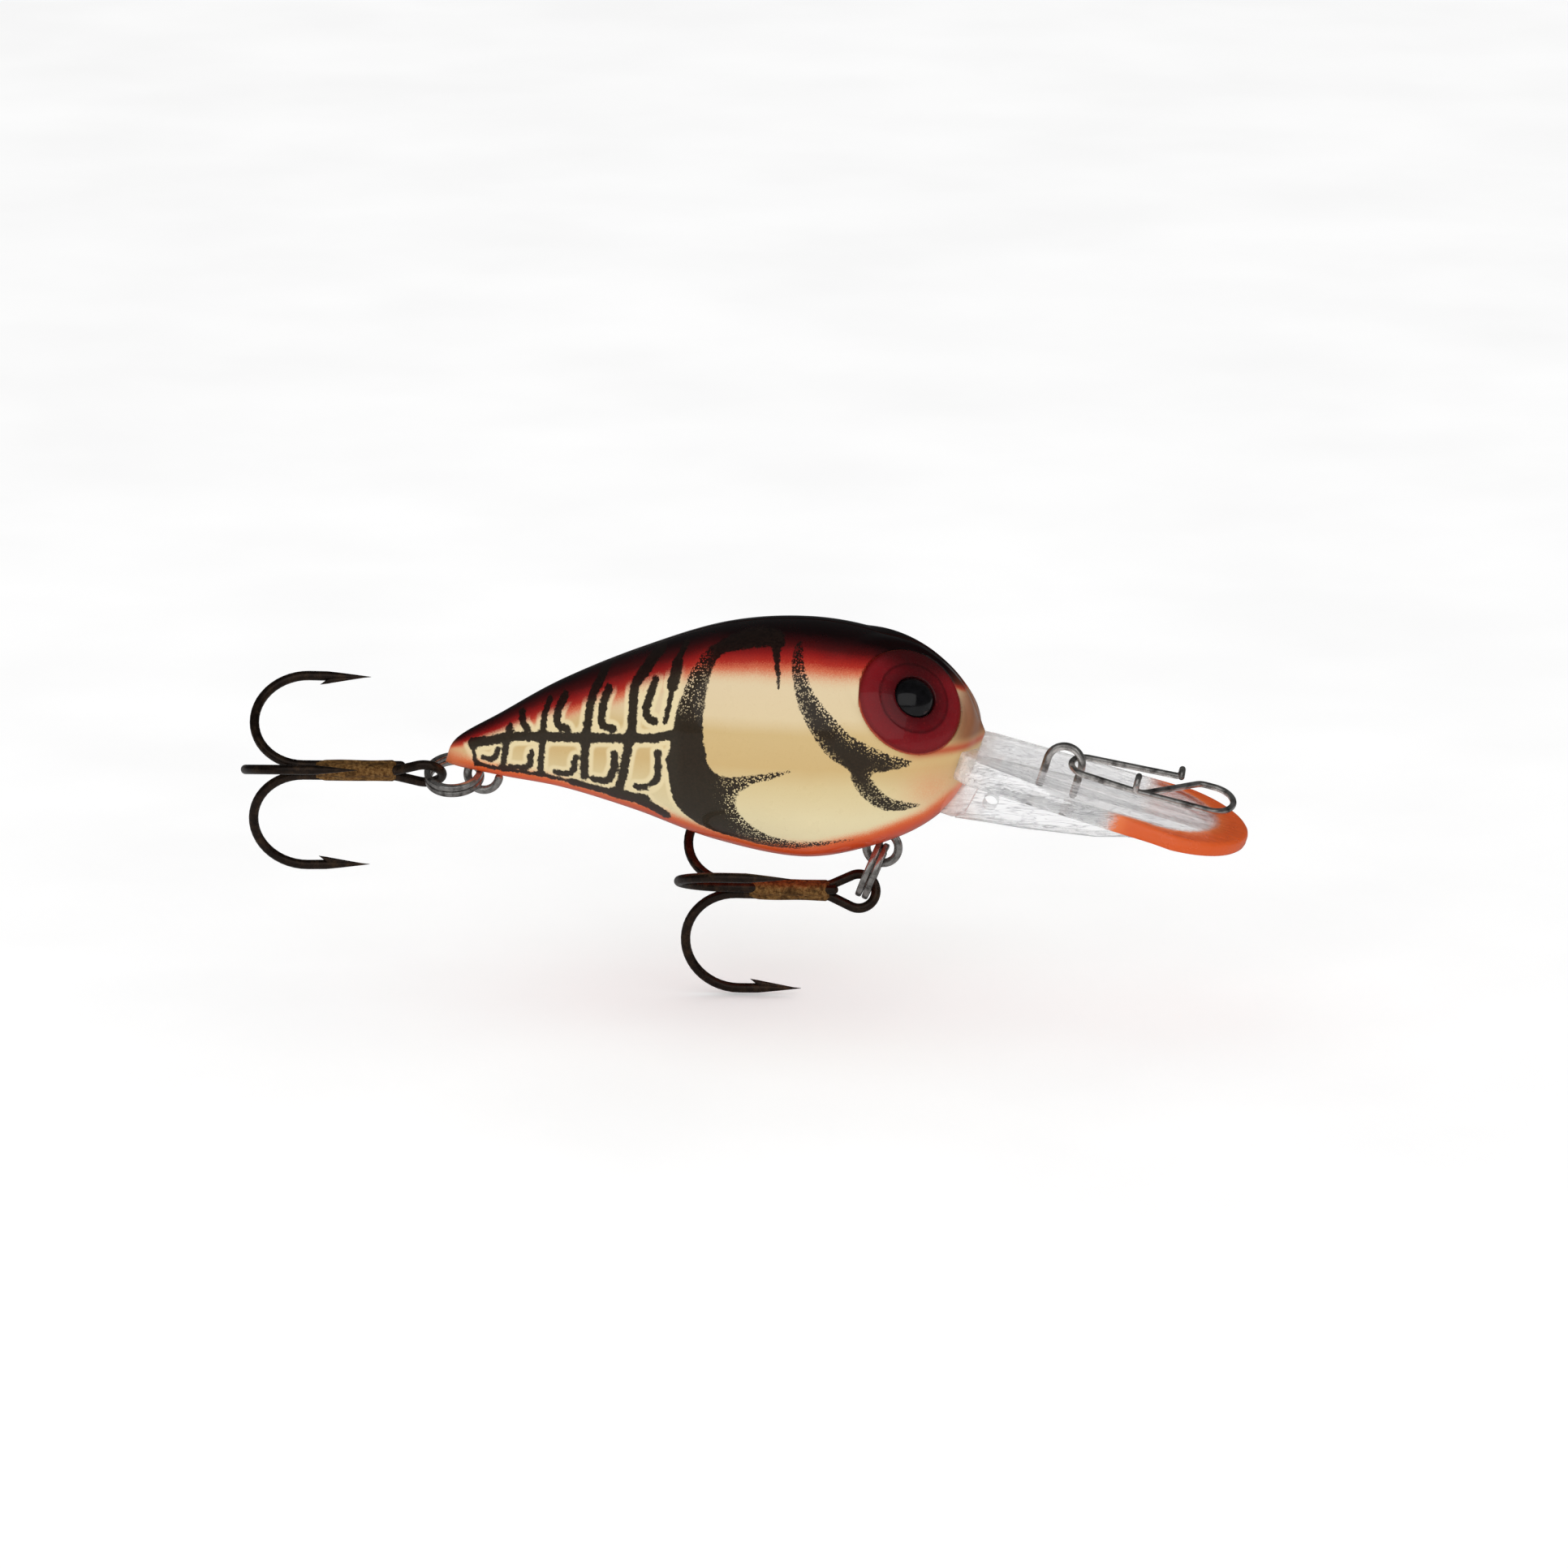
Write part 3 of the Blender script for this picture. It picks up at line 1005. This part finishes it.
def split_ring(name, node, body, m, lap):
    """One flat wire wound twice; it steps from one coil to the other past the two ends."""
    rings = []
    for d in np.arange(0, 720 - RING_GAP - RING_CLIMB * 0.4, RING_STEP):
        climb = float(smooth((d - (360 - RING_CLIMB)) / RING_CLIMB))
        z = (climb - 0.5) * (RING_COIL + RING_SLIT)
        ring = []
        for t in around(16):
            c, s = math.cos(t), math.sin(t)
            r = RING_R + RING_W / 2 * math.copysign(abs(c) ** RING_SQUARE, c)
            h = RING_COIL / 2 * math.copysign(abs(s) ** RING_SQUARE, s)
            ring.append(m @ Vector((r * cos(d + lap), r * sin(d + lap), z + h)))
        rings.append(ring)
    shell = Shell(rings)
    shell.turn_over()
    piece(name, shell, body, node, nickel)


belly_ring_at = belly_eye + Vector((0, 0, 0.1))
belly_ring_at += RING_R * Vector((-sin(BELLY_RING_LEAN), 0, -cos(BELLY_RING_LEAN)))
tail_ring_at = tail_eye + Vector((-RING_R - 0.3, 0, -0.12))
split_ring("belly_ring_wire", "belly_split_ring", "belly_ring",
           at(belly_ring_at) @ turn(0, -90 + BELLY_RING_LEAN, 0), 60)
split_ring("tail_ring_wire", "tail_split_ring", "tail_ring",
           at(tail_ring_at) @ turn(TAIL_RING_ROLL, 0, 0), 75)

# ---- Treble hooks ----
HOOK_R, HOOK_EYE, HOOK_BACK, HOOK_NECK = HOOK_WIRE / 2, 1.6, 25, 1.5
HOOK_GAP, HOOK_LEN, THROAT, POINT = 10.2, 18.8, 1.4, 4.4
HOOK_BEND, PAIR_TURN, HOOK_SIDES = 181, 30, 22
POINT_START, POINT_STEPS, POINT_FULL, POINT_R = 0.06, 16, 1.15, 0.02
pair = HOOK_R + 0.02
third = pair * math.sqrt(3)
bend_r = (HOOK_GAP - pair) / 2
eye_straight = HOOK_EYE * cos(HOOK_BACK) - pair - HOOK_NECK * (1 - cos(HOOK_BACK))
eye_straight /= sin(HOOK_BACK)
neck_end = HOOK_EYE * sin(HOOK_BACK) + eye_straight * cos(HOOK_BACK) + HOOK_NECK * sin(HOOK_BACK)
bend_start = HOOK_LEN - HOOK_EYE - 2 * HOOK_R - bend_r
THIRD_START, BRAZE_FROM, BRAZE_TO, BRAZE_STEPS, BRAZE_SIDES = 2.3, 2.7, 10.2, 60, 48
# Barb: where its free end sits along and above the point, and the slope of the cut under it
BARB_BACK, BARB_TOP, BARB_CUT, BARB_END = -0.35, 0.96, 0.9, POINT * 0.96


def barb(shell, m):
    """A wedge cut up from the inside of the point, sharp at its free end."""
    rings = []
    for f in np.linspace(0, 1, 24):
        x = BARB_BACK + (BARB_END - BARB_BACK) * f
        top = BARB_TOP * (1 - f)
        low = max(0.0, min(top - 0.015, BARB_TOP - (x - BARB_BACK) * BARB_CUT))
        w = float(np.interp(x, [BARB_BACK, BARB_BACK + 0.8, BARB_END], [0.015, 0.27, 0.02]))
        middle, h = (top + low) / 2, (top - low) / 2
        rings.append([m @ Vector((x, w * math.cos(t), middle + h * math.sin(t)))
                      for t in around(14)])
    shell.rings(rings)


def hook_arm(shell, steps, start):
    """Bends a wire, grinds its end to a slightly full point, adds the barb; points and radii."""
    points, m = run(steps + [(THROAT, 0, 0, 0)], start)
    radii = [HOOK_R] * len(points)
    for f in np.linspace(POINT_START, 1, POINT_STEPS):
        points.append(m @ Vector((POINT * f, 0, 0)))
        radii.append(HOOK_R * (1 - f ** POINT_FULL) + POINT_R)
    barb(shell, m)
    return points, radii


def double_hook(place, m):
    shell = Shell()
    (left, left_r), (right, right_r) = (hook_arm(shell, [
        (0, 0, HOOK_EYE, 90 + HOOK_BACK), (eye_straight, 180, HOOK_NECK, HOOK_BACK),
        (bend_start - neck_end, side * PAIR_TURN, bend_r, HOOK_BEND),
    ], m @ at(HOOK_EYE) @ turn(roll, 0, 0) @ turn(0, -90, 0)) for side, roll in ((-1, 180), (1, 0)))
    sweep(shell, left[::-1] + right[1:], left_r[::-1] + right_r[1:], HOOK_SIDES)
    piece(f"{place}_pair_wire", shell, f"{place}_treble", f"{place}_double_hook", bronze)


def third_hook(place, m):
    shell = Shell()
    start = m @ at(-THIRD_START, -third, 0) @ turn(0, 0, 180)
    points, radii = hook_arm(
        shell, [(bend_start - THIRD_START, -90, bend_r, HOOK_BEND)], start)
    sweep(shell, points, radii, HOOK_SIDES)
    piece(f"{place}_third_wire", shell, f"{place}_treble", f"{place}_third_hook", bronze)


def braze_fillet(place, m, seed):
    """Solder flooded round the three shanks: it follows them and sags between."""
    rng = np.random.default_rng(seed)
    phase = rng.uniform(0, 2 * math.pi, 6)
    centres = [(pair, 0), (-pair, 0), (0, -third)]
    middle = (0, -third / 3)
    rings = []
    for i in range(BRAZE_STEPS + 1):
        f = i / BRAZE_STEPS
        x = -BRAZE_FROM - (BRAZE_TO - BRAZE_FROM) * f
        body_r = smooth(f / 0.05) * smooth((1 - f) / 0.12)
        ring = []
        for t in around(BRAZE_SIDES):
            c, s = math.cos(t), math.sin(t)
            reach = max((cx - middle[0]) * c + (cy - middle[1]) * s for cx, cy in centres) + HOOK_R
            lump = sum(math.sin(k * t + phase[k - 1] + f * 9 * (k % 3 - 1)) / k
                       for k in (2, 3, 4, 5))
            r = reach * (0.84 + 0.20 * body_r) + 0.035 * lump * body_r
            ring.append(m @ Vector((x, middle[1] + r * s, r * c)))
        rings.append(ring)
    piece(f"{place}_braze_fillet", Shell(rings), f"{place}_treble", f"{place}_braze", braze)


def bronze_material():
    k = Nodes("bronzed_hook_wire")
    wear = k.noise(0.9, 5.0, 0.65)
    base = k.ramp(wear, [(0.30, "241b16"), (0.52, "3a2c23"), (0.66, "54402f"), (0.80, "755a3e")])
    base = k.mix(k.remap(k.noise(0.15, 3.0), 0.60, 0.74, 0, 0.35), base, rgb("14100d"))
    return k.set(
        Base_Color=base, Metallic=0.85, Normal=k.bump(k.noise(0.10, 4.0, 0.7), 0.016),
        Roughness=k.uneven(0.45, 4.0, 0.20, 0.42),
        Coat_Weight=0.3, Coat_Roughness=0.2,
    )


def braze_material():
    k = Nodes("rough_brass_braze")
    grit = k.noise(0.32, 5.0, 0.75)
    base = k.ramp(grit, [(0.30, "4a3018"), (0.44, "8a6032"), (0.56, "b98a50"), (0.72, "dfb77c")])
    soot = k.remap(k.noise(0.9, 3.0), 0.50, 0.66)
    base = k.mix(k.times(soot, 0.5), base, rgb("2a1c10"))
    bump = k.bump(grit, 0.10)
    return k.set(
        Base_Color=base, Metallic=0.8, Normal=bump, Roughness=k.remap(grit, 0.3, 0.7, 0.30, 0.62),
    )


bronze, braze = bronze_material(), braze_material()
# Each treble: place, eye off the hinge, roll, yaw and the seed of its braze
TREBLES = [("belly", (-0.35, 0, 0.2), -20, 3, 3), ("tail", (-0.3, 0, 0), -134, 6, 8)]
for place, off, roll, yaw, seed in TREBLES:
    m = at(joint_at[f"{place}_hook_swing"] + Vector(off)) @ turn(roll, 0, yaw)
    double_hook(place, m)
    third_hook(place, m)
    braze_fillet(place, m, seed)


# ---- Weights inside the shell keep their CAD shape ----
def weight_material():
    k = Nodes("tumbled_weight_steel")
    base = k.ramp(k.noise(0.8, 5.0), [(0.3, "6d6c6b"), (0.7, "a3a19e")])
    dent = k.noise(0.3, 3.0)
    return k.set(
        Base_Color=base, Metallic=1.0, Normal=k.bump(dent, 0.03),
        Roughness=k.uneven(0.5, 3.0, 0.22, 0.45),
    )


weight = weight_material()
for node in ("ballast_weight", "rattle_ball_front", "rattle_ball_middle", "rattle_ball_rear"):
    for slot in frame["nodes"][node].material_slots:
        slot.material = weight


# ---- Floor, light and camera ----
def mirror_rays(tree):
    """1 for reflected rays only, so that the clear lip still shows the pale floor behind it."""
    rays = tree.nodes.new("ShaderNodeLightPath")
    keep = tree.nodes.new("ShaderNodeMath")
    keep.operation, keep.use_clamp = "SUBTRACT", True
    tree.links.new(rays.outputs["Is Glossy Ray"], keep.inputs[0])
    tree.links.new(rays.outputs["Is Transmission Ray"], keep.inputs[1])
    return keep.outputs[0]


def floor_material():
    k = Nodes("pale_floor")
    tone = k.ramp(k.noise(30.0, 4.0), [(0.3, "f3f3f3"), (0.7, "f8f8f8")])
    tone = k.mix(mirror_rays(k.tree), tone, (0.22, 0.22, 0.22, 1))
    return k.set(
        Base_Color=tone, Roughness=0.8, Normal=k.bump(k.noise(2.0, 4.0), 0.02),
        Emission_Color=tone, Emission_Strength=0.20,
    )


FLOOR_GAP, FLOOR_HALF, FLOOR_STEPS = 0.0002, 3.0, 12
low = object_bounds()[0].z - FLOOR_GAP
grid = np.linspace(-FLOOR_HALF, FLOOR_HALF, FLOOR_STEPS)
floor_mesh = bpy.data.meshes.new("floor")
corners = [i * FLOOR_STEPS + j for i in range(FLOOR_STEPS - 1) for j in range(FLOOR_STEPS - 1)]
floor_mesh.from_pydata(
    [(x, y, low) for x in grid for y in grid], [],
    [(a, a + FLOOR_STEPS, a + FLOOR_STEPS + 1, a + 1) for a in corners],
)
floor_mesh.materials.append(floor_material())
show("floor", floor_mesh)

# The camera looks at this point of the body, as fractions of its length and height
LOOK_X, LOOK_Z = 0.630, 0.292
body_lo, body_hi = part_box("body_left")
body_mid = Vector((
    body_lo.x + LOOK_X * (body_hi.x - body_lo.x), 0, body_lo.z + LOOK_Z * (body_hi.z - body_lo.z)
))


def aim(ob, azimuth, elevation, away):
    """Puts a lamp or camera away from the lure and turns it there; azimuth 0 looks along +Y."""
    back = Vector((
        sin(azimuth) * cos(elevation), -cos(azimuth) * cos(elevation), sin(elevation)
    ))
    ob.location = body_mid + back * away
    ob.rotation_euler = back.to_track_quat("Z", "Y").to_euler()


# One broad soft lamp above the camera: width and height in metres, and watts
lamp = bpy.data.lights.new("front_box", "AREA")
lamp.shape, lamp.size, lamp.size_y, lamp.energy = "RECTANGLE", 0.95, 0.60, 0.75
aim(show("front_box", lamp), 4, 33, 0.60)

# Even light on matt surfaces, with a dark room behind the lamp for the reflections
ROOM_LIGHT, ROOM_MIRRORED = 0.88, 0.03
world = bpy.data.worlds.new("studio")
world.use_nodes = True
scene.world = world
tree = world.node_tree
sky = tree.nodes["Background"]
level = tree.nodes.new("ShaderNodeMix")
level.inputs["A"].default_value, level.inputs["B"].default_value = ROOM_LIGHT, ROOM_MIRRORED
tree.links.new(mirror_rays(tree), level.inputs["Factor"])
tree.links.new(level.outputs["Result"], sky.inputs["Strength"])
sky.inputs["Color"].default_value = (1, 1, 1, 1)

CAMERA_AZ, CAMERA_EL, FRAME_WIDTH = 8, 14, 0.1458
cam = bpy.data.cameras.new("camera")
cam.lens, cam.sensor_width, cam.clip_start = 200, 36, 0.01
eye = show("camera", cam)
aim(eye, CAMERA_AZ, CAMERA_EL, FRAME_WIDTH * cam.lens / cam.sensor_width)
scene.camera = eye
scene.view_settings.view_transform = "Standard"
